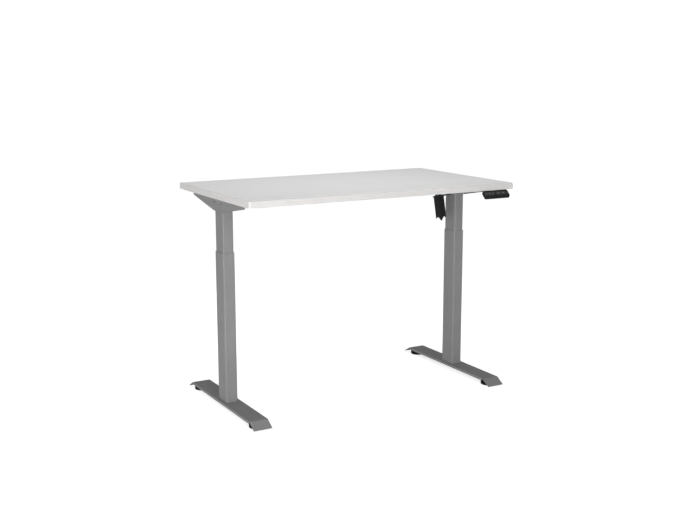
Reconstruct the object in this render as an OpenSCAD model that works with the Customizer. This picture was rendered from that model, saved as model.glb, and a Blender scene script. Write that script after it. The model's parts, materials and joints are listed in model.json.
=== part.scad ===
// Height-adjustable standing desk: a desktop on two telescoping legs, raised by one motor.
// The motor's worm turns a hexagonal shaft that runs between the legs. A bevel gear pair at the
// head of each leg turns a hanging lead screw, and its nut stands on a post in the leg's base.
// Millimetres, +Z up. The origin is on the floor under the middle of the desk's footprint,
// +X runs along the desktop to the user's right and -Y points to the user.

/* [Desktop] */
// Width of the desktop, along X
top_w = 1200; // [1190:5:1400]
// Depth of the desktop, along Y
top_d = 700; // [680:5:800]
// Thickness of the desktop
top_t = 25; // [18:1:30]
// Radius of the desktop's corners, seen from above
top_corner_r = 10; // [4:1:40]
// Thickness of the edge band round the board
band_t = 2; // [1.5:0.5:3]
// Radius of the edge band's two arrises
arris_r = 1; // [0.5:0.1:1.2]

/* [Legs] */
// Height of the desktop's upper face over the floor, as shown
desk_h = 879; // [840:1:900]
// Distance between the middles of the two legs
leg_span = 1100; // [1090:5:1110]
// Width of the lower tube, along X
lower_w = 50; // [50:1:50]
// Depth of the lower tube, along Y
lower_d = 80; // [80:1:80]
// Height of the lower tube's mouth over the floor
lower_top = 638; // [630:1:640]
// Width of the upper tube, along X
upper_w = 45; // [45:1:45]
// Depth of the upper tube, along Y
upper_d = 75; // [75:1:75]
// Height of the upper tube's lower end over the floor
upper_bottom = 205; // [200:1:230]
// Wall of both tubes
tube_wall = 1.5; // [1.5:0.1:1.6]
// Corner radius of both tubes
tube_r = 5.5; // [4:0.5:5.5]

/* [Feet] */
// Width of a foot, along X
foot_w = 77; // [74:1:84]
// Length of a foot's flat top, along Y
foot_flat = 580; // [560:5:600]
// Height of a foot's upper face over the floor
foot_h = 30.5; // [30.5:0.5:32]
// How far each end flap reaches out past the flat
flap_out = 41; // [36:1:44]
// How far each end flap comes down
flap_down = 24; // [18:1:24]
// Thickness of the foot's sheet
foot_sheet = 3; // [3:0.5:3]
// Height of the lips along the foot's sides
lip_h = 10; // [8:0.5:11]
// Radius of a levelling foot's pad
pad_r = 32; // [26:1:32]
// Distance of the pads from the middle of the foot
pad_y = 276; // [265:1:278]

/* [Side brackets] */
// Length of a side bracket, along Y
bracket_l = 504; // [480:2:540]
// Depth of the bracket's web under the desktop, at the leg
bracket_deep = 55; // [50:1:56]
// Depth of the web at its two tips
bracket_tip = 16; // [10:1:20]
// Thickness of the bracket's sheet
bracket_t = 2.5; // [2.5:0.5:2.5]

/* [Drive] */
// Distance of the drive shaft's axis under the desktop
shaft_drop = 22; // [22:0.5:24]
// Size of the hexagonal shaft across its flats
hex_af = 8; // [6:1:8]
// Pitch radius of the bevel gears
bevel_r = 12; // [12:1:12]
// Teeth on each bevel gear
bevel_teeth = 16; // [16:1:16]
// Outer radius of the lead screw's thread
screw_r = 8; // [7:0.5:8]
// Pitch of the lead screw's thread, which is also its lead
screw_pitch = 8; // [6:1:10]
// Place of the motor along X
motor_x = 472; // [440:1:472]
// Lean of the motor, its lower end towards the user
motor_tilt = 13.5; // [0:0.5:15]
// Side of the motor's square cover
motor_w = 34; // [34:1:36]

/* [Handset] */
// Place of the handset's middle along X
handset_x = 502; // [450:1:510]
// Width of the handset
handset_w = 125; // [125:1:125]
// How far the handset stands out in front of the desktop
handset_out = 20; // [20:1:20]

/* [Hidden] */
$fn = 48;

// the handset stands out at the front, so the desk's middle lies half of that behind the origin
desk_y = handset_out / 2;
leg_x = leg_span / 2;
under_z = desk_h - top_t; // the desktop's underside
shaft_z = under_z - shaft_drop;
eps = 0.01;

// colours
white_top = [0.93, 0.93, 0.93];
warm_white = [0.95, 0.94, 0.92];
frame_grey = [0.53, 0.53, 0.54];
black_plastic = [0.13, 0.13, 0.14];
black_metal = [0.16, 0.16, 0.17];
zinc = [0.78, 0.79, 0.80];
steel = [0.62, 0.63, 0.65];
pale_plastic = [0.88, 0.88, 0.84];
bronze = [0.72, 0.53, 0.28];
board_green = [0.12, 0.36, 0.22];

// gearbox at each leg's head, measured from the shaft's axis
gearbox_w = upper_w - 2 * tube_wall - 0.4;
gearbox_d = upper_d - 2 * tube_wall - 0.4;
gearbox_down = 33;
head_t = 4;
head_z = under_z - bracket_t - head_t; // the upper tube's upper end
boss_r = 15;
boss_out = 37;
gear_room = 14.2;
spindle_bearing_r = 15;
spindle_bearing_h = 9;
spindle_bearing_drop = 23;
journal_r = 5;
shaft_bearing_r = 12;
shaft_bearing_w = 6;
shaft_bearing_at = 24.8;
hub_r = 6;
run_gap = 0.1; // radial clearance of a running fit
bolt_y = 31; // the bolts that hold the side bracket to the leg
rail_w = 20;
rail_h = 30;
rail_y = upper_d / 2 + 0.5 + rail_w / 2;
flange_in = 35; // how far the bracket's flange reaches in from the leg's middle

// lead screw, its nut and the nut's post
screw_root = screw_r - 1.6;
screw_top = shaft_z - gearbox_down;
screw_bottom = upper_bottom - 5;
post_r = 14;
post_bore = 12;
base_t = 8;
nut_z = lower_top - 48; // underside of the nut's flange
nut_flange_h = 8;
nut_skirt = 20;
nut_gap = 0.08;
shoe_h = 40;
bush_h = 30;
slide_gap = 0.2;

// worm drive, in the motor's leaning frame
worm_module = 1.25;
worm_starts = 2;
wheel_teeth = 20;
worm_r = 6;
wheel_r = worm_module * wheel_teeth / 2;
worm_cd = worm_r + wheel_r;
worm_lead = PI * worm_module * worm_starts;
wheel_w = 8;
wheel_hub_r = 8;
case_half = 17; // half the width of the gearcase along the shaft
worm_case_r = 14;
flange_z = -40; // the motor flange's underside
flange_t = 4;
motor_end = -134; // the corners of the motor's cover
motor_plate = -126;
motor_tip = -145;
motor_flange_w = 42;
motor_shaft_r = 2.5;
motor_post = motor_w / 2 - 3.8;
arm_t = 4;
arm_plate_t = 3;
arm_screw_ys = [8, 30];
arm_screw_z = -25.5;

// handset, measured from the desktop's front edge (out) and underside (up)
face_top = [1, 0];
face_low = [handset_out, -20];
face_len = norm(face_low - face_top);
face_tilt = atan2(face_top[1] - face_low[1], face_low[0] - face_top[0]);
shell_t = 2;
cavity_low = 1.5; // the hollow behind the face, measured up the slope and into the case
cavity_l = 21;
cavity_deep = 9;
key_mid = cavity_low + cavity_l / 2;
key_l = 17;
tab_t = 3; // the tab that is screwed under the desktop
tab_in = 40;
key_proud = 2.5;
key_gap = 0.4;
key_flange = 1.2;
notch_w = 3;
notch_at = [57, 110]; // grooves that divide the face into three
// each key's middle from the handset's left end, and its window's width: three presets,
// up, down and memory
keys = [[10.5, 15], [27.5, 15], [44.5, 15], [71, 23], [96, 23], [117.2, 9.6]];

// control box under the desktop, behind the rear rail
box_x = 240;
box_y = 135;
box_w = 240;
box_d = 96;
box_h = 34;
box_t = 2;
tab_w = 14;

// ---------------------------------------------------------------- helpers

// a rounded rectangle with true arcs, centred
module rrect(w, d, r) {
    square([w - 2 * r, d], center = true);
    square([w, d - 2 * r], center = true);
    for (x = [-1, 1], y = [-1, 1])
        translate([x * (w / 2 - r), y * (d / 2 - r)]) circle(r);
}

module rtube(w, d, r, wall, h) {
    linear_extrude(h) difference() {
        rrect(w, d, r);
        rrect(w - 2 * wall, d - 2 * wall, max(r - wall, 0.5));
    }
}

// the desk's own middle, on the floor
module at_desk() { translate([0, desk_y, 0]) children(); }

// a leg's frame: X points from the leg to the desk's middle, Z is the height over the floor
module at_leg(side) {
    at_desk() translate([side * leg_x, 0, 0]) mirror([side > 0 ? 1 : 0, 0, 0]) children();
}

// the motor's frame: the shaft runs along X through it and the motor hangs down along -Z
module at_motor() {
    at_desk() translate([motor_x, 0, shaft_z]) rotate([-motor_tilt, 0, 0]) children();
}

// the handset's sloping face: X from its left end, Y up the slope, Z out of the face
module at_face() {
    at_desk() translate([handset_x - handset_w / 2, -top_d / 2 - face_low[0], under_z + face_low[1]])
        rotate([face_tilt, 0, 0]) children();
}

// a cylinder along X from x = a to x = b
module xcyl(r, a, b) { translate([a, 0, 0]) rotate([0, 90, 0]) cylinder(r = r, h = b - a); }

// a countersunk screw with its head's face at z = 0
module flat_screw(r, head_r, l) {
    translate([0, 0, -l]) cylinder(r = r, h = l - (head_r - r));
    translate([0, 0, -(head_r - r)]) cylinder(r1 = r, r2 = head_r, h = head_r - r);
}

// a screw with a low round head on top of z = 0 and a hexagonal socket
module cap_screw(r, head_r, head_h, l) {
    difference() {
        union() {
            translate([0, 0, -l]) cylinder(r = r, h = l);
            cylinder(r = head_r, h = head_h * 0.6);
            translate([0, 0, head_h * 0.6])
                cylinder(r1 = head_r, r2 = head_r * 0.72, h = head_h * 0.4);
        }
        translate([0, 0, head_h * 0.35]) cylinder(r = head_r * 0.45, h = head_h, $fn = 6);
    }
}

// ---------------------------------------------------------------- desktop

// where wood screws hold the side brackets: distance from the desk's middle line
wood_screw_x = leg_x - 27;
wood_screw_ys = [-230, -150, -80, 80, 150, 230];
wood_screw_r = 2.2;
wood_screw_in = 16;
box_screws = [for (x = [-1, 1], y = [-1, 1])
    [box_x + x * (box_w / 2 + tab_w / 2), box_y + y * (box_d / 2 - 14)]];
handset_screws = [for (x = [-1, 1]) [handset_x + x * 40, -top_d / 2 + 28]];

module wood_screw_holes(r) {
    for (s = [-1, 1], y = wood_screw_ys)
        translate([s * wood_screw_x, y, under_z - eps]) cylinder(r = r, h = wood_screw_in);
    for (p = concat(box_screws, handset_screws))
        translate([p[0], p[1], under_z - eps]) cylinder(r = r, h = wood_screw_in - 4);
}

module desktop_board() color(white_top) at_desk() difference() {
    translate([0, 0, under_z]) linear_extrude(top_t)
        rrect(top_w - 2 * band_t, top_d - 2 * band_t, top_corner_r - band_t);
    wood_screw_holes(wood_screw_r + 0.05);
}

module band_section() {
    translate([0, arris_r]) square([band_t, top_t - 2 * arris_r]);
    square([band_t - arris_r, top_t]);
    for (y = [arris_r, top_t - arris_r]) translate([band_t - arris_r, y]) circle(arris_r);
}

// a straight run of the band, from the middle of a side to where its corner begins
module band_run(out, along) translate([out - band_t, along - top_corner_r, 0])
    rotate([90, 0, 0]) linear_extrude(along - top_corner_r) band_section();

module edge_band() color(warm_white) at_desk() translate([0, 0, under_z])
    for (mx = [0, 1], my = [0, 1]) mirror([mx, 0, 0]) mirror([0, my, 0]) {
        band_run(top_w / 2, top_d / 2);
        mirror([1, -1, 0]) band_run(top_d / 2, top_w / 2);
        translate([top_w / 2 - top_corner_r, top_d / 2 - top_corner_r, 0])
            rotate_extrude(angle = 90) translate([top_corner_r - band_t, 0]) band_section();
    }

module desktop_screws() color(zinc) at_desk() {
    for (s = [-1, 1], y = wood_screw_ys)
        translate([s * wood_screw_x, y, under_z - bracket_t]) mirror([0, 0, 1])
            cap_screw(wood_screw_r, 4.5, 2.6, bracket_t + wood_screw_in - 2);
    for (p = box_screws) tab_screw(p, box_t);
    for (p = handset_screws) tab_screw(p, tab_t);
}

module tab_screw(p, t) translate([p[0], p[1], under_z - t]) mirror([0, 0, 1])
    cap_screw(wood_screw_r, 4, 2.4, t + wood_screw_in - 6);

// ---------------------------------------------------------------- frame under the desktop

rail_screw_xs = [-10, 12];
head_screw_x = 29;
head_screw_y = 20;

// places of the countersunk screws in a bracket's flange, in the leg's frame
function flange_screws() = concat(
    [for (x = rail_screw_xs, s = [-1, 1]) [x, s * rail_y]],
    [for (s = [-1, 1]) [head_screw_x, s * head_screw_y]]);

module web_outline() {
    half = bracket_l / 2;
    flat = bracket_deep * 0.76;
    polygon([[-half, 0], [-half, -bracket_tip], [-flat, -bracket_deep],
             [flat, -bracket_deep], [half, -bracket_tip], [half, 0]]);
}

module flange_outline() {
    half = bracket_l / 2;
    outer = -upper_w / 2 - bracket_t;
    polygon([[outer, -half], [outer, half], [flange_in - 22, half], [flange_in, half - 30],
             [flange_in, -half + 30], [flange_in - 22, -half]]);
}

module side_bracket(side) color(frame_grey) at_leg(side) difference() {
    union() {
        translate([-upper_w / 2 - bracket_t, 0, under_z]) rotate([90, 0, 90])
            linear_extrude(bracket_t) web_outline();
        translate([0, 0, under_z - bracket_t]) linear_extrude(bracket_t) flange_outline();
    }
    // bolts to the leg, and spare holes for hanging things on
    translate([0, 0, shaft_z]) for (s = [-1, 1]) {
        translate([0, s * bolt_y, 0]) xcyl(3.3, -upper_w, 0);
        translate([0, s * 97, 0.5]) xcyl(3.5, -upper_w, 0);
        translate([0, s * 150, 4]) xcyl(2.2, -upper_w, 0);
    }
    for (p = flange_screws()) translate([p[0], p[1], under_z + eps]) flat_screw(3.05, 5.6, 9);
    for (y = wood_screw_ys)
        translate([leg_x - wood_screw_x, y, under_z - bracket_t - 1]) cylinder(r = 2.8, h = 9);
}

module head_plate(side) color(frame_grey) at_leg(side) difference() {
    translate([(flange_in - upper_w / 2) / 2, 0, head_z]) linear_extrude(head_t)
        rrect(flange_in + upper_w / 2, upper_d, 3);
    for (s = [-1, 1])
        translate([head_screw_x, s * head_screw_y, head_z - 1]) cylinder(r = 3.05, h = 9);
}

module rail(s) color(frame_grey) at_desk() difference() {
    translate([-leg_x + upper_w / 2 - upper_w, s * rail_y, under_z - bracket_t - rail_h / 2])
        rotate([90, 0, 90]) rtube(rail_w, rail_h, 2.5, 1.5, leg_span + upper_w);
    for (side = [-1, 1], x = rail_screw_xs)
        translate([side * (leg_x - x), s * rail_y, under_z - bracket_t - 4])
            cylinder(r = 3.05, h = 9);
}

module frame_screws() color(zinc) {
    for (side = [-1, 1]) at_leg(side) {
        for (p = flange_screws()) translate([p[0], p[1], under_z]) flat_screw(3, 5.5, 8.5);
        for (s = [-1, 1]) translate([-upper_w / 2 - bracket_t, s * bolt_y, shaft_z])
            rotate([0, -90, 0]) cap_screw(3, 5.5, 3.2, 13);
    }
    // motor flange to motor cover, and motor bracket to the right leg
    at_motor() {
        for (x = [-1, 1], y = [-1, 1])
            translate([x * motor_post, worm_cd + y * motor_post, flange_z + flange_t])
                cap_screw(1.45, 2.9, 2.2, flange_t + 12);
        for (y = arm_screw_ys) translate([arm_end() - arm_plate_t, y, arm_screw_z])
            rotate([0, -90, 0]) cap_screw(2.5, 4.2, 2.8, arm_plate_t + tube_wall + 4);
    }
}

// ---------------------------------------------------------------- upper part of a leg

// X of the right leg's inner face, in the motor's frame
function arm_end() = leg_x - upper_w / 2 - motor_x;

module motor_bracket_holes(r)
    at_motor() for (y = arm_screw_ys) translate([0, y, arm_screw_z]) xcyl(r, 30, arm_end() + 7);

module inner_tube(side) color(frame_grey) difference() {
    at_leg(side) difference() {
        translate([0, 0, upper_bottom])
            rtube(upper_w, upper_d, tube_r, tube_wall, head_z - upper_bottom);
        translate([0, 0, shaft_z]) {
            xcyl(boss_r + 0.3, 5, upper_w);
            translate([5, -boss_r - 0.3, 0]) cube([upper_w, 2 * boss_r + 0.6, 40]);
            for (s = [-1, 1]) translate([0, s * bolt_y, 0]) xcyl(3.3, -upper_w, -5);
        }
    }
    if (side > 0) motor_bracket_holes(2.7);
}

module slide_shoes() color(pale_plastic) for (side = [-1, 1]) at_leg(side)
    translate([0, 0, upper_bottom]) linear_extrude(shoe_h) difference() {
        rrect(lower_w - 2 * tube_wall - 2 * slide_gap, lower_d - 2 * tube_wall - 2 * slide_gap,
              tube_r - tube_wall);
        rrect(upper_w, upper_d, tube_r);
    }

module gearbox_housing(side) color(steel) difference() {
    at_leg(side) difference() {
        union() {
            translate([0, 0, shaft_z - gearbox_down])
                linear_extrude(head_z - shaft_z + gearbox_down)
                    rrect(gearbox_w, gearbox_d, tube_r - tube_wall - 0.2);
            translate([0, 0, shaft_z]) xcyl(boss_r, 5, boss_out);
        }
        translate([0, 0, shaft_z]) {
            // room for the two gears
            translate([0, 0, -20.5]) cylinder(r = gear_room, h = 60);
            translate([0, -gear_room, -gear_room]) cube([18.8, 2 * gear_room, 60]);
            // seat of the lead screw's bearing, under a shoulder that takes the load
            translate([0, 0, -21]) cylinder(r = 11, h = 5);
            translate([0, 0, -spindle_bearing_drop]) cylinder(r = 11, h = 5);
            translate([0, 0, -gearbox_down - 1])
                cylinder(r = spindle_bearing_r, h = gearbox_down + 1 - spindle_bearing_drop);
            // seat of the shaft's bearing
            xcyl(8, 15, boss_out + 1);
            xcyl(shaft_bearing_r, shaft_bearing_at, boss_out + 1);
            for (s = [-1, 1]) translate([0, s * bolt_y, 0]) xcyl(3.05, -upper_w, -9);
        }
    }
    if (side > 0) motor_bracket_holes(2.55);
}

// a ball bearing drawn as one ring with a groove on each face, its lower face at z = 0
module bearing(outer, bore, h) rotate_extrude() {
    mid = (outer + bore) / 2;
    g = (outer - bore) * 0.16;
    polygon([[bore, 0], [mid - g, 0], [mid - g, 0.8], [mid + g, 0.8], [mid + g, 0], [outer, 0],
             [outer, h], [mid + g, h], [mid + g, h - 0.8], [mid - g, h - 0.8], [mid - g, h],
             [bore, h]]);
}

module spindle_bearings() color(zinc) for (side = [-1, 1]) at_leg(side)
    translate([0, 0, shaft_z - spindle_bearing_drop - spindle_bearing_h])
        bearing(spindle_bearing_r, journal_r + run_gap, spindle_bearing_h);

module shaft_bearings() color(zinc) for (side = [-1, 1]) at_leg(side)
    translate([shaft_bearing_at, 0, shaft_z]) rotate([0, 90, 0])
        bearing(shaft_bearing_r, hub_r + run_gap, shaft_bearing_w);

// ---------------------------------------------------------------- bevel gears and lead screws

bevel_module = 2 * bevel_r / bevel_teeth;
bevel_face = 5;
bevel_toe = 1 - bevel_face / (bevel_r * sqrt(2));
bevel_backlash = 0.16;

// a tooth's corner on the heel: u outward from the pitch cone, t round the axis
function bevel_point(u, t, k) =
    [k * (bevel_r + u * sqrt(0.5)), k * t, k * (-bevel_r + u * sqrt(0.5))];

// one tooth of a mitre gear whose cones meet at the origin, its body below on the Z axis
module bevel_tooth() {
    add = bevel_module * 0.9;
    ded = bevel_module * 1.3;
    half = PI * bevel_module / 4 - bevel_backlash;
    tip = half - add * tan(23);
    root = half + ded * tan(16);
    section = [[-ded, -root], [-ded, root], [add, tip], [add, -tip]];
    polyhedron(
        [for (k = [1, bevel_toe], p = section) bevel_point(p[0], p[1], k)],
        [[3, 2, 1, 0], [4, 5, 6, 7], [0, 1, 5, 4], [1, 2, 6, 5], [2, 3, 7, 6], [3, 0, 4, 7]],
        convexity = 2);
}

module bevel_gear(bore, hub, hub_end, phase) {
    ded = bevel_module * 1.2;
    heel = [bevel_r - ded * sqrt(0.5), -bevel_r - ded * sqrt(0.5)];
    difference() {
        union() {
            rotate_extrude() polygon([[0, -8.9], [5.8, -8.9], heel * bevel_toe, heel,
                [heel[0], -18], [hub, -18], [hub, hub_end], [0, hub_end]]);
            for (i = [0:bevel_teeth - 1]) rotate(i * 360 / bevel_teeth + phase) bevel_tooth();
        }
        translate([0, 0, hub_end - 1])
            cylinder(r = bore, h = 60, $fn = bore < 5 ? 6 : $fn);
    }
}

module spindle_gear(side) color(steel) at_leg(side) translate([0, 0, shaft_z])
    bevel_gear(journal_r + 0.03, 8.5, -19.5, 0);

module shaft_gear(side) color(steel) at_leg(side) translate([0, 0, shaft_z])
    rotate([0, -90, 0]) bevel_gear(hex_corner(0.05), hub_r, -boss_out + 2, 180 / bevel_teeth);

// corner radius of the hexagon, widened by a gap on each flat
function hex_corner(gap) = (hex_af / 2 + gap) / cos(30);

// the thread as rings: half of its outline, from the bottom up
function thread_points(z0, z1) = [
    for (i = [0:floor((z1 - z0) / screw_pitch) - 1], p = [[screw_root, 0], [screw_root, 0.34],
        [screw_r, 0.48], [screw_r, 0.86]]) [p[0], z0 + (i + p[1]) * screw_pitch]];

module spindle(side) color(steel) at_leg(side) rotate_extrude() {
    top = shaft_z - 9.2;
    ring_top = screw_top - 6;
    polygon(concat(
        [[0, screw_bottom], [screw_root - 1, screw_bottom]],
        thread_points(screw_bottom + 3, ring_top),
        [[screw_root, ring_top], [screw_root, screw_top - 3], [9, screw_top - 3],
         [9, screw_top - 0.5], [7, screw_top + 1 - run_gap], [journal_r, screw_top + 1 - run_gap],
         [journal_r, top], [0, top]]));
}

module drive_shaft() color(zinc) at_desk() translate([-leg_x + 9, 0, shaft_z])
    rotate([0, 90, 0]) cylinder(r = hex_corner(0), h = leg_span - 18, $fn = 6);

// ---------------------------------------------------------------- motor and worm drive

lead_angle = atan(worm_lead / (2 * PI * worm_r));
worm_backlash = 0.14;

module wheel_tooth() {
    half = PI * worm_module / 4 - worm_backlash;
    // across the tooth: Y is along the rim, X is out from the axis
    rotate([-lead_angle, 0, 0]) translate([0, 0, -wheel_w / 2]) linear_extrude(wheel_w)
        polygon([[wheel_r - 2.2, -half - 0.62], [wheel_r, -half], [wheel_r + 1.1, -half * 0.5],
                 [wheel_r + 1.1, half * 0.5], [wheel_r, half], [wheel_r - 2.2, half + 0.62]]);
}

module worm_wheel() color(bronze) at_motor() rotate([0, 90, 0]) difference() {
    union() {
        translate([0, 0, -wheel_w / 2 - 0.6]) cylinder(r = wheel_r - 1.6, h = wheel_w + 1.2);
        translate([0, 0, -case_half - 2]) cylinder(r = wheel_hub_r, h = 2 * case_half + 4);
        for (i = [0:wheel_teeth - 1]) rotate((i + 0.5) * 360 / wheel_teeth + 90) wheel_tooth();
    }
    rotate(motor_tilt) translate([0, 0, -40]) cylinder(r = hex_corner(0.05), h = 80, $fn = 6);
}

worm_half = 12;
worm_steps = 24;

// one thread of the worm: a four-sided section swept up a helix
module worm_thread(start) {
    turns = 2 * worm_half / worm_lead - 0.35;
    n = round(turns * worm_steps);
    root = worm_r - 1.5 * worm_module;
    tip = worm_r + 0.85 * worm_module;
    half = PI * worm_module / 4 - worm_backlash;
    section = [[root, -half - 0.6], [tip, -half + 0.42], [tip, half - 0.42], [root, half + 0.6]];
    points = [for (i = [0:n], p = section)
        let (turn = (i - n / 2) / worm_steps, a = 360 * (turn + start / worm_starts))
            [p[0] * cos(a), p[0] * sin(a), p[1] + turn * worm_lead]];
    sides = [for (i = [0:n - 1], j = [0:3]) let (k = (j + 1) % 4)
        each [[4 * i + j, 4 * i + k, 4 * i + 4 + k], [4 * i + j, 4 * i + 4 + k, 4 * i + 4 + j]]];
    polyhedron(points, concat(sides, [[3, 2, 1, 0], [4 * n, 4 * n + 1, 4 * n + 2, 4 * n + 3]]),
        convexity = 8);
}

module worm() color(steel) at_motor() translate([0, worm_cd, 0]) difference() {
    union() {
        translate([0, 0, -worm_half - 1]) cylinder(r = worm_r - 1.3 * worm_module, h = 2 * worm_half + 2);
        for (s = [0:worm_starts - 1]) rotate(-90) worm_thread(s);
    }
    translate([0, 0, -40]) cylinder(r = motor_shaft_r + 0.1, h = 80);
}

module armature() color(steel) at_motor() translate([0, worm_cd, 0]) {
    translate([0, 0, motor_plate + 5.5]) cylinder(r = motor_shaft_r, h = 19 - motor_plate - 5.5);
    difference() {
        translate([0, 0, -106]) cylinder(r = 8, h = 45);
        cylinder(r = motor_shaft_r, h = 400, center = true);
        for (i = [0:4]) rotate(i * 72) translate([6, -0.8, -107]) cube([3, 1.6, 47]);
    }
    difference() {
        translate([0, 0, -60]) cylinder(r = 4.5, h = 9);
        cylinder(r = motor_shaft_r, h = 400, center = true);
    }
}

module motor_gearcase() color(black_metal) at_motor() difference() {
    union() {
        xcyl(19, -case_half, case_half);
        translate([0, worm_cd, flange_z + flange_t - eps])
            cylinder(r = worm_case_r, h = 22 - flange_z - flange_t);
        translate([0, worm_cd, flange_z]) linear_extrude(flange_t)
            rrect(motor_flange_w, motor_flange_w, 4);
    }
    xcyl(14.4, -wheel_w / 2 - 1.5, wheel_w / 2 + 1.5);
    xcyl(wheel_hub_r + run_gap, -case_half - 1, case_half + 1);
    translate([0, worm_cd, 0]) {
        translate([0, 0, -22]) cylinder(r = 8, h = 36);
        translate([0, 0, flange_z - 1]) cylinder(r = motor_shaft_r + run_gap, h = 60.5);
        for (x = [-1, 1], y = [-1, 1])
            translate([x * motor_post, y * motor_post, flange_z - 1]) cylinder(r = 1.6, h = 6);
    }
}

module motor_cover() color(black_plastic) at_motor() translate([0, worm_cd, 0]) difference() {
    union() {
        translate([0, 0, motor_end]) rtube(motor_w, motor_w, 3, 1.2, flange_z - motor_end);
        translate([0, 0, motor_plate - 3]) linear_extrude(3)
            rrect(motor_w - 2, motor_w - 2, 2);
        // the pointed nose under the end plate
        translate([0, 0, motor_tip + 3]) cylinder(r1 = 4, r2 = 13, h = motor_plate - motor_tip - 5);
        translate([0, 0, motor_tip + 3]) sphere(r = 4);
        for (x = [-1, 1], y = [-1, 1]) translate([x * motor_post, y * motor_post, flange_z - 20])
            cylinder(r = 2.6, h = 20);
    }
    // arches between the four corners
    translate([0, 0, motor_end - 8]) difference() {
        for (a = [0, 90]) rotate(a) xcyl(14, -motor_w, motor_w);
        cylinder(r = motor_w / 2 - 1.6, h = 60, center = true);
    }
    for (x = [-1, 1], y = [-1, 1]) translate([x * motor_post, y * motor_post, flange_z - 13])
        cylinder(r = 1.5, h = 14);
}

module motor_can() color(zinc) at_motor() translate([0, worm_cd, 0]) difference() {
    translate([0, 0, motor_plate]) cylinder(r = 15.4, h = flange_z - motor_plate);
    translate([0, 0, motor_plate + 5]) cylinder(r = motor_shaft_r + run_gap, h = 200);
    translate([0, 0, motor_plate + 8]) cylinder(r = 9, h = flange_z - motor_plate - 12);
    // clear of the four screw posts
    for (x = [-1, 1], y = [-1, 1]) translate([x * motor_post, y * motor_post, flange_z - 20.5])
        cylinder(r = 3, h = 21);
}

module motor_bracket() color(black_metal) at_motor() difference() {
    union() {
        translate([-15, worm_cd - 11, flange_z + flange_t]) cube([arm_end() + 15, 27, arm_t]);
        translate([arm_end() - arm_plate_t, 1.5, flange_z + flange_t])
            cube([arm_plate_t, 35, 19]);
    }
    translate([0, worm_cd, -60]) cylinder(r = worm_case_r + 0.2, h = 60);
    xcyl(19.3, -30, 30);
    for (x = [-1, 1], y = [-1, 1])
        translate([x * motor_post, worm_cd + y * motor_post, -60]) cylinder(r = 3.4, h = 60);
    for (y = arm_screw_ys) translate([0, y, arm_screw_z]) xcyl(2.7, 30, 90);
}

// ---------------------------------------------------------------- control box

inlet_w = 32;
inlet_d = 26;
inlet_h = 24;
inlet_x = box_x - 70;
inlet_mouth = box_y - box_d / 2;

// two sockets for the motor's and the handset's leads, beside the mains inlet
socket_xs = [box_x + 10, box_x + 60];
socket_w = 16;
socket_h = 12;

module control_box_base() color(black_plastic) at_desk() difference() {
    union() {
        translate([box_x, box_y, under_z - box_t]) linear_extrude(box_t)
            rrect(box_w + 2 * tab_w, box_d - 8, 4);
        translate([box_x, box_y, under_z - 10]) rtube(box_w - 2 * box_t - 0.4,
            box_d - 2 * box_t - 0.4, 3, 1.5, 8 + eps);
    }
    for (p = box_screws) translate([p[0], p[1], under_z - 20]) cylinder(r = 2.4, h = 40);
    // room for the inlet and the sockets behind the front wall
    translate([inlet_x - inlet_w / 2 - 1, inlet_mouth - 5, under_z - 20])
        cube([inlet_w + 2, 12, 20 - box_t]);
    for (x = socket_xs) translate([x - socket_w / 2 - 1, inlet_mouth - 5, under_z - 20])
        cube([socket_w + 2, 12, 20 - box_t]);
}

module control_box_lid() color(black_plastic) at_desk() difference() {
    translate([box_x, box_y, under_z - box_h]) linear_extrude(box_h - box_t) rrect(box_w, box_d, 5);
    translate([box_x, box_y, under_z - box_h + box_t]) linear_extrude(box_h)
        rrect(box_w - 2 * box_t, box_d - 2 * box_t, 3.2);
    translate([inlet_x - inlet_w / 2 - 0.1, inlet_mouth - 5, under_z - box_t - 3 - inlet_h - 0.1])
        cube([inlet_w + 0.2, 12, inlet_h + 0.2]);
    for (x = socket_xs) translate([x - socket_w / 2, inlet_mouth - 5, under_z - 24])
        cube([socket_w, 12, socket_h]);
    // slots that let the warm air out at the back
    for (i = [-6:6]) translate([box_x + i * 12 - 2, box_y + box_d / 2 - 6, under_z - 26])
        cube([4, 12, 14]);
}

module mains_inlet() color(black_plastic) at_desk()
    translate([inlet_x, inlet_mouth, under_z - box_t - 3 - inlet_h / 2]) {
        difference() {
            translate([-inlet_w / 2, 0, -inlet_h / 2]) cube([inlet_w, inlet_d, inlet_h]);
            translate([-12.5, -1, -8.5]) cube([25, 19, 17]);
        }
        for (p = [[-7, -2], [7, -2], [0, 3]]) translate([p[0] - 1, 8, p[1] - 2])
            cube([2, 10 + eps, 4]);
    }

module control_board() color(board_green) at_desk() {
    z = under_z - box_h + box_t + 3;
    difference() {
        translate([box_x - 60, box_y - 12, z]) cube([170, 50, 1.6]);
        for (x = [-50, 100], y = [-5, 30]) translate([box_x + x, box_y + y, z - 1])
            cylinder(r = 1.6, h = 4);
    }
    // transformer, capacitors and relays
    translate([box_x - 45, box_y - 2, z + 1.6]) cube([38, 32, 14]);
    for (i = [0:2]) translate([box_x + 10 + i * 14, box_y + 8, z + 1.6]) cylinder(r = 5, h = 14);
    for (i = [0:1]) translate([box_x + 60 + i * 18, box_y + 5, z + 1.6]) cube([15, 20, 12]);
    for (x = socket_xs) translate([x - socket_w / 2 + 0.5, inlet_mouth + 2.5, under_z - 23.5])
        difference() {
            cube([socket_w - 1, 18, socket_h - 1]);
            translate([1.5, -1, 1.5]) cube([socket_w - 4, 13, socket_h - 4]);
        }
}

// ---------------------------------------------------------------- handset

// outline seen from its right end: out from the desktop's front edge, up from its underside
module handset_outline() polygon([[-tab_in, 0], [-tab_in, -tab_t], [-6, -tab_t], [-3, -12],
    [18, -32.5], [handset_out, -31], face_low, face_top]);

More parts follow.
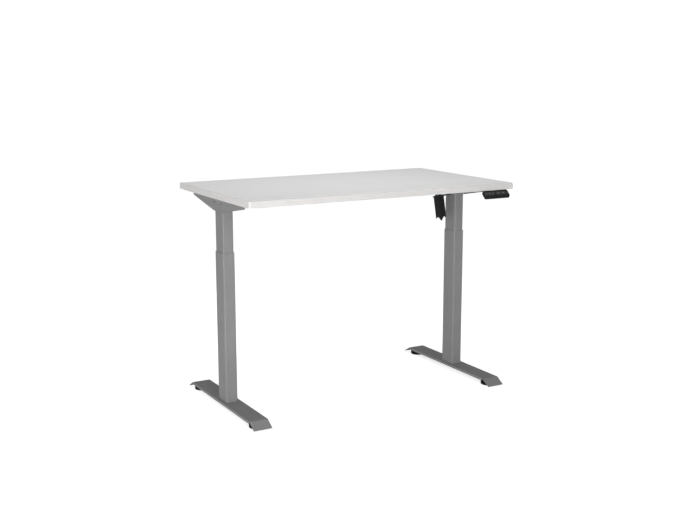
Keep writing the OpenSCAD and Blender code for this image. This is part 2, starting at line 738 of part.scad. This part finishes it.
module handset_bar() at_desk()
    translate([handset_x - handset_w / 2, -top_d / 2, under_z])
        rotate([90, 0, 90]) linear_extrude(handset_w) mirror([1, 0]) handset_outline();

// outline seen square to the face, with cut corners and a narrower tab
module handset_front() {
    cut = 4;
    low = -8.1;
    high = 70;
    polygon([[cut, low], [handset_w - cut, low], [handset_w, low + cut], [handset_w, face_len - 6],
             [handset_w - cut, face_len], [handset_w - cut, high], [cut, high], [cut, face_len],
             [0, face_len - 6], [0, low + cut]]);
}

module handset_body() intersection() {
    handset_bar();
    at_face() translate([0, 0, -60]) linear_extrude(120) handset_front();
}

// the opening in the back of the case, through which its board goes in
module handset_back(gap) at_face() translate([8 + gap, 4 + gap, -20])
    cube([handset_w - 16 - 2 * gap, 15 - 2 * gap, 20 - cavity_deep - gap]);

module handset_case() color(black_plastic) difference() {
    handset_body();
    at_face() {
        translate([shell_t, cavity_low, -cavity_deep])
            cube([handset_w - 2 * shell_t, cavity_l, cavity_deep - shell_t]);
        // windows for the keys
        for (k = keys) translate([k[0] - k[1] / 2, key_mid - key_l / 2, -shell_t - 1])
            cube([k[1], key_l, 20]);
        // grooves between the three parts of the face
        for (x = notch_at) {
            translate([x - notch_w / 2, face_len - 4, -1]) cube([notch_w, 8, 8]);
            translate([x - notch_w / 4, -4, -0.8]) cube([notch_w / 2, 40, 8]);
        }
    }
    handset_back(-eps);
    at_desk() for (p = handset_screws) translate([p[0], p[1], under_z - 20])
        cylinder(r = 2.4, h = 40);
}

module handset_base() color(black_plastic) intersection() {
    handset_bar();
    handset_back(0.1);
}

module handset_board() color(board_green) at_face() {
    translate([4, cavity_low + 1, -8.6]) cube([handset_w - 8, cavity_l - 2, 1.2]);
    for (k = keys) translate([k[0], key_mid, -7.4]) cylinder(r = 3, h = 1.4);
}

module button(i) color([0.22, 0.22, 0.23]) at_face() {
    w = keys[i][1];
    cap_w = w - 2 * key_gap;
    cap_l = key_l - 2 * key_gap;
    translate([keys[i][0], key_mid, 0]) {
        translate([0, 0, -shell_t - 1]) linear_extrude(shell_t + 1 + key_proud - 0.6)
            rrect(cap_w, cap_l, 1.5);
        translate([0, 0, key_proud - 0.6]) linear_extrude(0.6) rrect(cap_w - 1, cap_l - 1, 1.2);
        // the flange that keeps the key in the case, and the stem over its switch
        translate([0, 0, -shell_t - key_flange - 0.1]) linear_extrude(key_flange)
            rrect(w + 1.2, key_l + 1.2, 1);
        translate([0, 0, -4.4]) cylinder(r = 2.2, h = 2);
    }
}

// ---------------------------------------------------------------- lower part of a leg

bolt_xs = [-14, 14];
bolt_ys = [-27, 27];
pad_h = 16;
pad_edge_r = 3;
pocket_z = 9; // floor of the pad's pocket, which takes the stud's boss
pocket_r = 12;
stud_r = 3.95;
stud_boss_z = pocket_z + 0.5;

// the foot's sheet seen from its side: a flat with a flap turned down at each end
module foot_side_profile() {
    half = foot_flat / 2;
    tip = half + flap_out;
    slope = flap_down / flap_out;
    drop = foot_sheet * sqrt(1 + slope * slope);
    shift = (drop - foot_sheet) / slope;
    polygon([[-tip, foot_h - flap_down], [-half, foot_h], [half, foot_h], [tip, foot_h - flap_down],
             [tip - 1.5, foot_h - flap_down - 2], [half - shift, foot_h - foot_sheet],
             [-half + shift, foot_h - foot_sheet], [-tip + 1.5, foot_h - flap_down - 2]]);
}

module foot(side) color(frame_grey) at_leg(side) difference() {
    union() {
        translate([-foot_w / 2, 0, 0]) rotate([90, 0, 90])
            linear_extrude(foot_w) foot_side_profile();
        // side lips, cut back in a curve where the flaps begin
        for (s = [-1, 1]) translate([s * (foot_w / 2 - foot_sheet / 2), 0, 0]) difference() {
            translate([-foot_sheet / 2, -foot_flat / 2, foot_h - lip_h])
                cube([foot_sheet, foot_flat, lip_h - foot_sheet / 2]);
            for (e = [-1, 1]) translate([0, e * foot_flat / 2, foot_h - foot_sheet - 12])
                xcyl(12, -foot_w, foot_w);
        }
        // bosses for the levelling feet's studs
        for (s = [-1, 1]) translate([0, s * pad_y, stud_boss_z])
            cylinder(r = 9, h = foot_h - foot_sheet / 2 - stud_boss_z);
    }
    for (s = [-1, 1]) translate([0, s * pad_y, 0]) cylinder(r = 4, h = foot_h - foot_sheet);
    for (x = bolt_xs, y = bolt_ys) translate([x, y, foot_h - 20]) cylinder(r = 4.3, h = 21);
}

module foot_bolts(side) color(zinc) at_leg(side) for (x = bolt_xs, y = bolt_ys)
    translate([x, y, foot_h - foot_sheet]) mirror([0, 0, 1]) cap_screw(3.95, 6.5, 4.5, 9.5);

module outer_tube(side) color(frame_grey) at_leg(side) translate([0, 0, foot_h])
    rtube(lower_w, lower_d, tube_r, tube_wall, lower_top - foot_h);

module nut_post(side) color(steel) at_leg(side) difference() {
    union() {
        translate([0, 0, foot_h]) linear_extrude(base_t)
            rrect(lower_w - 2 * tube_wall, lower_d - 2 * tube_wall, tube_r - tube_wall);
        translate([0, 0, foot_h]) cylinder(r = post_r, h = nut_z - foot_h);
    }
    translate([0, 0, foot_h + base_t]) cylinder(r = post_bore, h = nut_z);
    for (x = bolt_xs, y = bolt_ys) translate([x, y, foot_h - 1]) cylinder(r = 4, h = base_t + 2);
}

module lead_nut(side) color(bronze) at_leg(side) difference() {
    union() {
        translate([0, 0, nut_z]) cylinder(r = 16, h = nut_flange_h);
        translate([0, 0, nut_z - nut_skirt]) cylinder(r = post_bore - 0.1, h = nut_skirt + 1);
    }
    translate([0, 0, nut_z - nut_skirt - 1])
        cylinder(r = screw_r + nut_gap, h = nut_skirt + nut_flange_h + 2);
}

module guide_bush(side) color(pale_plastic) at_leg(side) translate([0, 0, lower_top - 1 - bush_h])
    linear_extrude(bush_h) difference() {
        rrect(lower_w - 2 * tube_wall, lower_d - 2 * tube_wall, tube_r - tube_wall);
        rrect(upper_w + 2 * slide_gap, upper_d + 2 * slide_gap, tube_r + slide_gap);
    }

module levelling_foot(side, end) color(black_plastic) at_leg(side)
    translate([0, end * pad_y, 0]) rotate_extrude() {
        difference() {
            union() {
                polygon([[0, 0], [pad_r - pad_edge_r, 0], [pad_r, pad_edge_r],
                         [pad_r, pad_h - pad_edge_r], [pad_r - pad_edge_r, pad_h], [0, pad_h]]);
                for (z = [pad_edge_r, pad_h - pad_edge_r])
                    translate([pad_r - pad_edge_r, z]) circle(pad_edge_r);
            }
            translate([0, pocket_z]) square([pocket_r, pad_h]);
        }
        translate([0, pocket_z - 1]) square([stud_r, foot_h - foot_sheet - pocket_z]);
    }

// ---------------------------------------------------------------- what is drawn

desktop_board();
edge_band();
side_bracket(-1);  // side_bracket_left
side_bracket(1);  // side_bracket_right
head_plate(-1);  // head_plate_left
head_plate(1);  // head_plate_right
rail(-1);  // rail_front
rail(1);  // rail_rear
inner_tube(-1);  // inner_tube_left
inner_tube(1);  // inner_tube_right
slide_shoes();
gearbox_housing(-1);  // gearbox_housing_left
gearbox_housing(1);  // gearbox_housing_right
spindle_bearings();
shaft_bearings();
frame_screws();
desktop_screws();
motor_gearcase();
motor_cover();
motor_can();
motor_bracket();
control_box_base();
control_box_lid();
control_board();
mains_inlet();
handset_case();
handset_base();
handset_board();
spindle(-1);  // spindle_left
spindle(1);  // spindle_right
spindle_gear(-1);  // spindle_gear_left
spindle_gear(1);  // spindle_gear_right
drive_shaft();
shaft_gear(-1);  // shaft_gear_left
shaft_gear(1);  // shaft_gear_right
worm_wheel();
worm();
armature();
foot(-1);  // foot_left
foot(1);  // foot_right
outer_tube(-1);  // outer_tube_left
outer_tube(1);  // outer_tube_right
nut_post(-1);  // nut_post_left
nut_post(1);  // nut_post_right
lead_nut(-1);  // lead_nut_left
lead_nut(1);  // lead_nut_right
guide_bush(-1);  // guide_bush_left
guide_bush(1);  // guide_bush_right
foot_bolts(-1);  // foot_bolts_left
foot_bolts(1);  // foot_bolts_right
levelling_foot(-1, -1);  // levelling_foot_left_front
levelling_foot(-1, 1);  // levelling_foot_left_rear
levelling_foot(1, -1);  // levelling_foot_right_front
levelling_foot(1, 1);  // levelling_foot_right_rear
button(0);  // button_preset_1
button(1);  // button_preset_2
button(2);  // button_preset_3
button(3);  // button_up
button(4);  // button_down
button(5);  // button_memory
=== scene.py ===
"""The standing desk in a plain studio: its finishes, the symbols on its keys, the light and the camera."""
import json
import math

import bpy
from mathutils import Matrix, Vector


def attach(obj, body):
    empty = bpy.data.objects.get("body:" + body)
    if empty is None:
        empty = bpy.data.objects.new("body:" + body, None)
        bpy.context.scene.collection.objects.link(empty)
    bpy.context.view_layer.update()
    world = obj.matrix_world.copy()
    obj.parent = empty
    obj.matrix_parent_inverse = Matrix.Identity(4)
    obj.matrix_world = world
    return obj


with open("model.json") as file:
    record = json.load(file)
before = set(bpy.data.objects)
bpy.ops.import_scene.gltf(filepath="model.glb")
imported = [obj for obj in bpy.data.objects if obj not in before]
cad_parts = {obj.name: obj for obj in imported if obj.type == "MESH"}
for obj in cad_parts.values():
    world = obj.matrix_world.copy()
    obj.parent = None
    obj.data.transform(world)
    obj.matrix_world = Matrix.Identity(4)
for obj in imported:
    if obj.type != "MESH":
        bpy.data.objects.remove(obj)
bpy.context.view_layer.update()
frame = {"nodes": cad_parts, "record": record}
NODES = frame["nodes"]
SCENE = bpy.context.scene

# ---------------------------------------------------------------- camera

# The camera stands in front of the desk, to its left and above the desktop.
CAMERA_AT = (-2.1544, -3.7755, 1.3882)
CAMERA_YAW = 0.521  # from +Y towards +X, in radians
CAMERA_DOWN = 0.192
LENS = 54.2
SENSOR = 36.0


def make_camera():
    data = bpy.data.cameras.new("camera")
    data.lens = LENS
    data.sensor_width = SENSOR
    data.clip_start = 0.05
    data.clip_end = 100
    camera = bpy.data.objects.new("camera", data)
    ahead = Vector((
        math.sin(CAMERA_YAW) * math.cos(CAMERA_DOWN),
        math.cos(CAMERA_YAW) * math.cos(CAMERA_DOWN),
        -math.sin(CAMERA_DOWN),
    ))
    camera.rotation_euler = ahead.to_track_quat("-Z", "Y").to_euler()
    camera.location = CAMERA_AT
    SCENE.collection.objects.link(camera)
    SCENE.camera = camera


make_camera()

# ---------------------------------------------------------------- node helpers


class Shader:
    """One material's node tree, with short calls for the nodes that the desk's finishes share."""

    def __init__(self, name):
        self.material = bpy.data.materials.new(name)
        self.material.use_nodes = True
        self.tree = self.material.node_tree
        self.tree.nodes.clear()
        self.surface = self.add("ShaderNodeBsdfPrincipled")
        self.output = self.add("ShaderNodeOutputMaterial")
        self.link(self.surface.outputs["BSDF"], self.output.inputs["Surface"])
        self.place = self.add("ShaderNodeTexCoord").outputs["Object"]

    def add(self, kind, **settings):
        node = self.tree.nodes.new(kind)
        for key, value in settings.items():
            setattr(node, key, value)
        return node

    def link(self, source, target):
        self.tree.links.new(source, target)

    def set(self, **values):
        """Constants on the shader's own sockets, by name with _ for a space."""
        for key, value in values.items():
            self.surface.inputs[key.replace("_", " ")].default_value = value

    def stretched(self, scale):
        """The place in the piece, scaled along X, Y and Z: a large scale makes a pattern finer that way."""
        mapping = self.add("ShaderNodeMapping")
        mapping.inputs["Scale"].default_value = scale
        self.link(self.place, mapping.inputs["Vector"])
        return mapping.outputs["Vector"]

    def noise(self, scale, detail=3.0, roughness=0.5, distortion=0.0, vector=None):
        node = self.add("ShaderNodeTexNoise")
        node.inputs["Scale"].default_value = scale
        node.inputs["Detail"].default_value = detail
        node.inputs["Roughness"].default_value = roughness
        node.inputs["Distortion"].default_value = distortion
        self.link(vector or self.place, node.inputs["Vector"])
        return node.outputs["Fac"]

    def cells(self, scale, feature="F1", output="Distance", vector=None):
        node = self.add("ShaderNodeTexVoronoi", feature=feature)
        node.inputs["Scale"].default_value = scale
        self.link(vector or self.place, node.inputs["Vector"])
        return node.outputs[output]

    def ramp(self, value, stops):
        node = self.add("ShaderNodeValToRGB")
        elements = node.color_ramp.elements
        while len(elements) < len(stops):
            elements.new(0.5)
        for element, (at, colour) in zip(elements, stops):
            element.position = at
            element.color = (*colour, 1.0)
        self.link(value, node.inputs["Fac"])
        return node.outputs["Color"]

    def span(self, value, low, high, start=0.0, end=1.0):
        """Goes from low to high as value goes from start to end."""
        node = self.add("ShaderNodeMapRange")
        node.inputs["From Min"].default_value = start
        node.inputs["From Max"].default_value = end
        node.inputs["To Min"].default_value = low
        node.inputs["To Max"].default_value = high
        self.link(value, node.inputs["Value"])
        return node.outputs["Result"]

    def mix(self, factor, a, b):
        """Colour a turning into colour b as factor goes from 0 to 1; each may be a socket or a constant."""
        node = self.add("ShaderNodeMix", data_type="RGBA")
        sockets = [s for s in node.inputs if s.enabled]
        for socket, value in zip(sockets, (factor, a, b)):
            if isinstance(value, bpy.types.NodeSocket):
                self.link(value, socket)
            elif isinstance(value, tuple):
                socket.default_value = (*value, 1.0)
            else:
                socket.default_value = value
        return next(s for s in node.outputs if s.enabled)

    def colour(self, value):
        self.link(value, self.surface.inputs["Base Color"])

    def roughness(self, value):
        self.link(value, self.surface.inputs["Roughness"])

    def bumps(self, *layers):
        """Each layer is (height, distance in metres, strength), the coarse one first."""
        normal = None
        for height, distance, strength in layers:
            node = self.add("ShaderNodeBump")
            node.inputs["Strength"].default_value = strength
            node.inputs["Distance"].default_value = distance
            self.link(height, node.inputs["Height"])
            if normal:
                self.link(normal, node.inputs["Normal"])
            normal = node.outputs["Normal"]
        self.link(normal, self.surface.inputs["Normal"])


def grey(value, warm=0.0):
    return (value * (1 + warm), value, value * (1 - warm))


def tint(colour, by):
    return tuple(c * by for c in colour)


# ---------------------------------------------------------------- finishes


def laminate():
    """Melamine on particle board: almost even, with a fine pearl grain."""
    s = Shader("desktop_laminate")
    cloud = s.noise(9, 4, 0.55)
    fleck = s.noise(900, 2, 0.6)
    s.colour(s.mix(
        s.span(fleck, 0.0, 0.35, 0.35, 0.65),
        s.ramp(cloud, [(0.3, grey(0.885, 0.002)), (0.7, grey(0.91, 0.002))]),
        grey(0.83, 0.003),
    ))
    s.roughness(s.span(s.noise(35, 4, 0.6), 0.42, 0.56))
    s.set(Specular_IOR_Level=0.25)
    s.bumps((s.noise(60, 3), 0.0006, 0.06), (s.noise(1600, 2, 0.7), 0.00008, 0.35))
    return s.material


def edge_band():
    """Plastic band glued round the board, with the faint lines that its scraper leaves."""
    s = Shader("edge_band")
    lines = s.noise(1, 3, 0.6, vector=s.stretched((6, 6, 900)))
    s.colour(s.ramp(lines, [(0.3, grey(0.68, 0.02)), (0.7, grey(0.73, 0.02))]))
    s.roughness(s.span(s.noise(120, 3), 0.42, 0.55))
    s.set(Specular_IOR_Level=0.30)
    s.bumps((lines, 0.00012, 0.25), (s.noise(1400, 2), 0.00005, 0.2))
    return s.material


def powder_coat(name, dark, light, rough=(0.44, 0.54)):
    """Powder coat: an orange-peel surface with a fine sparkle of lighter and darker grains."""
    s = Shader(name)
    grain = s.cells(2600, output="Color")
    cloud = s.noise(14, 4, 0.6)
    base = s.ramp(cloud, [(0.3, dark), (0.7, light)])
    specks = s.span(s.noise(1900, 1, 0.5), 0.0, 0.30, 0.52, 0.75)
    s.colour(s.mix(specks, base, tint(light, 1.35)))
    s.roughness(s.span(s.noise(420, 3, 0.6), *rough))
    s.set(Specular_IOR_Level=0.42)
    s.bumps((s.noise(520, 2, 0.5), 0.0001, 0.22), (grain, 0.00002, 0.15))
    return s.material


def moulded(name, dark, light, rough, grain=2200, depth=0.00008):
    """Moulded plastic with a spark-eroded grain and slow changes of gloss."""
    s = Shader(name)
    spark = s.cells(grain, feature="SMOOTH_F1")
    s.colour(s.mix(
        s.span(spark, 0.0, 0.6),
        s.ramp(s.noise(40, 4, 0.6), [(0.3, dark), (0.7, light)]),
        tint(dark, 0.8),
    ))
    s.roughness(s.span(s.noise(180, 4, 0.6), *rough))
    s.set(Specular_IOR_Level=0.16)
    s.bumps((s.noise(90, 2), 0.0003, 0.08), (spark, depth, 0.5))
    return s.material


def metal(name, dark, light, rough, streak=(40, 40, 40), bump=0.25, scale=30):
    """Bare or plated metal: streaks along the way it was worked, stains and fine scratches."""
    s = Shader(name)
    run = s.noise(scale, 4, 0.65, vector=s.stretched(streak))
    stain = s.noise(55, 5, 0.7, 0.4)
    s.colour(s.mix(
        s.span(stain, 0.0, 0.5, 0.45, 0.75),
        s.ramp(run, [(0.3, dark), (0.7, light)]),
        tint(dark, 0.72),
    ))
    s.roughness(s.span(s.noise(260, 4, 0.7), *rough))
    s.set(Metallic=1.0, Anisotropic=0.3)
    s.bumps((run, 0.0002, bump), (s.noise(1500, 2), 0.00005, 0.3))
    return s.material


def cast_metal():
    """Die-cast aluminium: a skin of shallow pits."""
    s = Shader("cast_aluminium")
    pits = s.cells(900, feature="SMOOTH_F1")
    s.colour(s.ramp(s.noise(60, 5, 0.65), [(0.3, grey(0.42)), (0.7, grey(0.56))]))
    s.roughness(s.span(s.noise(350, 3), 0.45, 0.65))
    s.set(Metallic=1.0)
    s.bumps((s.noise(140, 3), 0.0006, 0.3), (pits, 0.0002, 0.5))
    return s.material


def circuit_board():
    """Solder mask over copper tracks, with tinned pads."""
    s = Shader("circuit_board")
    tracks = s.cells(170, feature="DISTANCE_TO_EDGE", vector=s.stretched((1, 1, 0.2)))
    pads = s.cells(420)
    mask = s.mix(s.span(tracks, 1.0, 0.0, 0.03, 0.06), (0.006, 0.055, 0.022), (0.02, 0.13, 0.05))
    s.colour(s.mix(s.span(pads, 1.0, 0.0, 0.10, 0.14), mask, (0.62, 0.60, 0.55)))
    s.roughness(s.span(s.noise(300, 3), 0.22, 0.40))
    s.bumps((tracks, 0.00005, 0.4))
    return s.material


def paint_print():
    """White pad-printing ink on the keys, a little thin in places."""
    s = Shader("key_print")
    s.colour(s.ramp(s.noise(1500, 3, 0.7), [(0.35, grey(0.30)), (0.60, grey(0.45))]))
    s.roughness(s.span(s.noise(800, 2), 0.45, 0.65))
    s.bumps((s.noise(2500, 2), 0.00002, 0.5))
    return s.material


FINISHES = {
    "desktop_laminate": laminate(),
    "edge_band": edge_band(),
    "grey_powder_coat": powder_coat("grey_powder_coat", grey(0.238), grey(0.258)),
    "black_powder_coat": powder_coat("black_powder_coat", grey(0.020), grey(0.027)),
    "black_plastic": moulded("black_plastic", grey(0.015), grey(0.021), (0.45, 0.60)),
    "key_plastic": moulded("key_plastic", grey(0.052), grey(0.062), (0.35, 0.50), 2600),
    "black_nylon": moulded("black_nylon", grey(0.008), grey(0.012), (0.50, 0.68), 1500, 0.00012),
    "pale_plastic": moulded("pale_plastic", grey(0.62, 0.03), grey(0.70, 0.03), (0.30, 0.42)),
    "zinc_plated_steel": metal(
        "zinc_plated_steel", (0.50, 0.51, 0.53), (0.66, 0.66, 0.64), (0.25, 0.42), (12, 40, 40)),
    "machined_steel": metal(
        "machined_steel", (0.40, 0.40, 0.40), (0.56, 0.55, 0.54), (0.22, 0.38), (8, 8, 120)),
    "bronze": metal("bronze", (0.42, 0.24, 0.08), (0.62, 0.40, 0.17), (0.25, 0.42), (10, 10, 90)),
    "cast_aluminium": cast_metal(),
    "circuit_board": circuit_board(),
}


def dress_cad_nodes():
    slots = {part["node"]: part["material_slot"] for part in frame["record"]["subparts"]}
    for name, node in NODES.items():
        node.data.materials.clear()
        node.data.materials.append(FINISHES[slots[name]])


dress_cad_nodes()

# ---------------------------------------------------------------- printed key symbols

MM = 0.001
INK = 0.05 * MM  # thickness of the ink
LEVEL = 0.01 * MM  # points of a key this near to its highest lie on its face
DOT_R = 0.65


def circle(radius, across=0.0, points=28):
    """A circle whose middle is that far across the key from the key's own."""
    turns = [2 * math.pi * i / points for i in range(points)]
    return [(across + radius * math.cos(turn), radius * math.sin(turn)) for turn in turns]


def arrow(way):
    """A chevron that points up the handset's face, or down it where way is -1."""
    up = [(0, 1.9), (-3.0, -1.1), (-2.3, -1.8), (0, 0.5), (2.3, -1.8), (3.0, -1.1)]
    return up if way > 0 else [(x, -y) for x, y in reversed(up)]


def dots(count, pitch=0.0):
    """That many dots side by side, in the middle of the key."""
    return [(circle(DOT_R, pitch * (i - (count - 1) / 2)), None) for i in range(count)]


# each symbol is a list of (outline, hole or None), in millimetres from the middle of its key
SYMBOLS = {
    "button_preset_1": dots(1),
    "button_preset_2": dots(2, 2.4),
    "button_preset_3": dots(3, 2.2),
    "button_up": [(arrow(1), None)],
    "button_down": [(arrow(-1), None)],
    "button_memory": [(circle(1.7), circle(1.1))],
}


def key_top(node):
    """Middle of a key's face, and the unit vectors across it, up it and out of it."""
    points = [node.matrix_world @ v.co for v in node.data.vertices]
    turn = node.matrix_world.to_3x3()
    # the face looks forwards and up
    sides = [(p.area, turn @ p.normal) for p in node.data.polygons]
    facing = [(area, normal) for area, normal in sides if normal.y < -0.3 and normal.z > 0.1]
    out = max(facing, key=lambda side: side[0])[1].normalized()
    height = max(p.dot(out) for p in points)
    face = [p for p in points if height - p.dot(out) < LEVEL]
    low = Vector([min(p[k] for p in face) for k in range(3)])
    high = Vector([max(p[k] for p in face) for k in range(3)])
    across = Vector((1, 0, 0))
    return (low + high) / 2, across, out.cross(across), out


def print_symbol(key, shapes, ink, body):
    """Prints the shapes on the key as a thin raised layer that moves with it."""
    middle, across, up, out = key_top(NODES[key])
    points = []
    faces = []

    def ring_of(outline, lift):
        start = len(points)
        points.extend(middle + across * x * MM + up * y * MM + out * lift for x, y in outline)
        return list(range(start, len(points)))

    def wall(low, high):
        for i in range(len(low)):
            j = (i + 1) % len(low)
            faces.append((low[i], low[j], high[j], high[i]))

    for outline, hole in shapes:
        low, high = ring_of(outline, 0), ring_of(outline, INK)
        wall(low, high)
        if hole is None:
            faces.append(tuple(high))
            faces.append(tuple(reversed(low)))
        else:
            inner_low, inner_high = ring_of(hole, 0), ring_of(hole, INK)
            wall(inner_high, inner_low)
            wall(high, inner_high)
            wall(inner_low, low)
    name = key.replace("button", "print")
    mesh = bpy.data.meshes.new(name)
    mesh.from_pydata(points, [], faces)
    mesh.materials.append(ink)
    piece = bpy.data.objects.new(name, mesh)
    SCENE.collection.objects.link(piece)
    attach(piece, body)


def print_all_symbols():
    ink = paint_print()
    for body, members in frame["record"]["behaviour"]["bodies"].items():
        for key in members:
            if key in SYMBOLS:
                print_symbol(key, SYMBOLS[key], ink, body)


print_all_symbols()

# ---------------------------------------------------------------- stage and light


def make_floor(glow):
    mesh = bpy.data.meshes.new("floor")
    half = 30.0
    mesh.from_pydata(
        [(-half, -half, 0), (half, -half, 0), (half, half, 0), (-half, half, 0)], [], [(0, 1, 2, 3)])
    floor = bpy.data.objects.new("floor", mesh)
    SCENE.collection.objects.link(floor)
    s = Shader("floor")
    s.colour(s.ramp(s.noise(3, 2), [(0.3, grey(0.90)), (0.7, grey(0.92))]))
    s.set(Roughness=0.9, Specular_IOR_Level=0.1)
    # the glow whitens the floor that is seen, and puts no light on the desk
    s.set(Emission_Color=(1.0, 1.0, 1.0, 1.0))
    seen = s.add("ShaderNodeLightPath").outputs["Is Camera Ray"]
    s.link(s.span(seen, 0.0, glow), s.surface.inputs["Emission Strength"])
    # from below it is looked through, so that the underside of the desk can be seen
    through = s.add("ShaderNodeMixShader")
    s.link(s.add("ShaderNodeNewGeometry").outputs["Backfacing"], through.inputs[0])
    s.link(s.surface.outputs["BSDF"], through.inputs[1])
    s.link(s.add("ShaderNodeBsdfTransparent").outputs["BSDF"], through.inputs[2])
    s.link(through.outputs["Shader"], s.output.inputs["Surface"])
    mesh.materials.append(s.material)


def make_world(strength, stops):
    """A white backdrop, with a dimmer dome for the light; each stop is (height, brightness)."""
    world = bpy.data.worlds.new("studio")
    world.use_nodes = True
    tree = world.node_tree
    coordinates = tree.nodes.new("ShaderNodeTexCoord")
    split = tree.nodes.new("ShaderNodeSeparateXYZ")
    ramp = tree.nodes.new("ShaderNodeValToRGB")
    elements = ramp.color_ramp.elements
    while len(elements) < len(stops):
        elements.new(0.5)
    for element, (height, brightness) in zip(elements, stops):
        element.position = height
        element.color = (brightness, brightness, brightness, 1.0)
    seen = tree.nodes.new("ShaderNodeLightPath")
    backdrop = tree.nodes.new("ShaderNodeMix")
    backdrop.data_type = "RGBA"
    colours = [s for s in backdrop.inputs if s.enabled]
    colours[2].default_value = (1.0, 1.0, 1.0, 1.0)
    background = tree.nodes["Background"]
    background.inputs["Strength"].default_value = strength
    tree.links.new(coordinates.outputs["Generated"], split.inputs["Vector"])
    tree.links.new(split.outputs["Z"], ramp.inputs["Fac"])
    tree.links.new(seen.outputs["Is Camera Ray"], colours[0])
    tree.links.new(ramp.outputs["Color"], colours[1])
    tree.links.new(next(s for s in backdrop.outputs if s.enabled), background.inputs["Color"])
    SCENE.world = world


def make_softbox(name, at, aim, size, power, mirrored=True):
    """A rectangular lamp; mirrored says if glossy surfaces reflect its outline."""
    data = bpy.data.lights.new(name, "AREA")
    data.shape = "RECTANGLE"
    data.size, data.size_y = size
    data.energy = power
    lamp = bpy.data.objects.new(name, data)
    lamp.visible_glossy = mirrored
    lamp.location = at
    lamp.rotation_euler = (Vector(aim) - Vector(at)).to_track_quat("-Z", "Y").to_euler()
    SCENE.collection.objects.link(lamp)


DOME = [(0.0, 0.40), (0.12, 0.24), (0.55, 0.20), (1.0, 0.30)]

make_floor(glow=0.74)
make_world(1.30, DOME)
# a low key near the camera draws the bright line down each leg's corner
make_softbox("key", (-1.75, -3.30, 0.38), aim=(-0.2, 0, 0.45), size=(0.45, 0.80), power=58)
make_softbox("fill", (-4.2, -0.4, 0.9), aim=(-0.5, 0, 0.5), size=(1.8, 1.4), power=38, mirrored=False)
make_softbox("front", (-0.9, -3.6, 2.3), aim=(0, 0, 0.2), size=(1.8, 1.2), power=26, mirrored=False)
# the desktop keeps this one off the feet; it aims a hair off straight down, so that it has a heading
make_softbox("overhead", (0, 0, 2.4), aim=(0, 0.001, 0), size=(1.1, 0.6), power=12.3)
SCENE.view_settings.view_transform = "Standard"
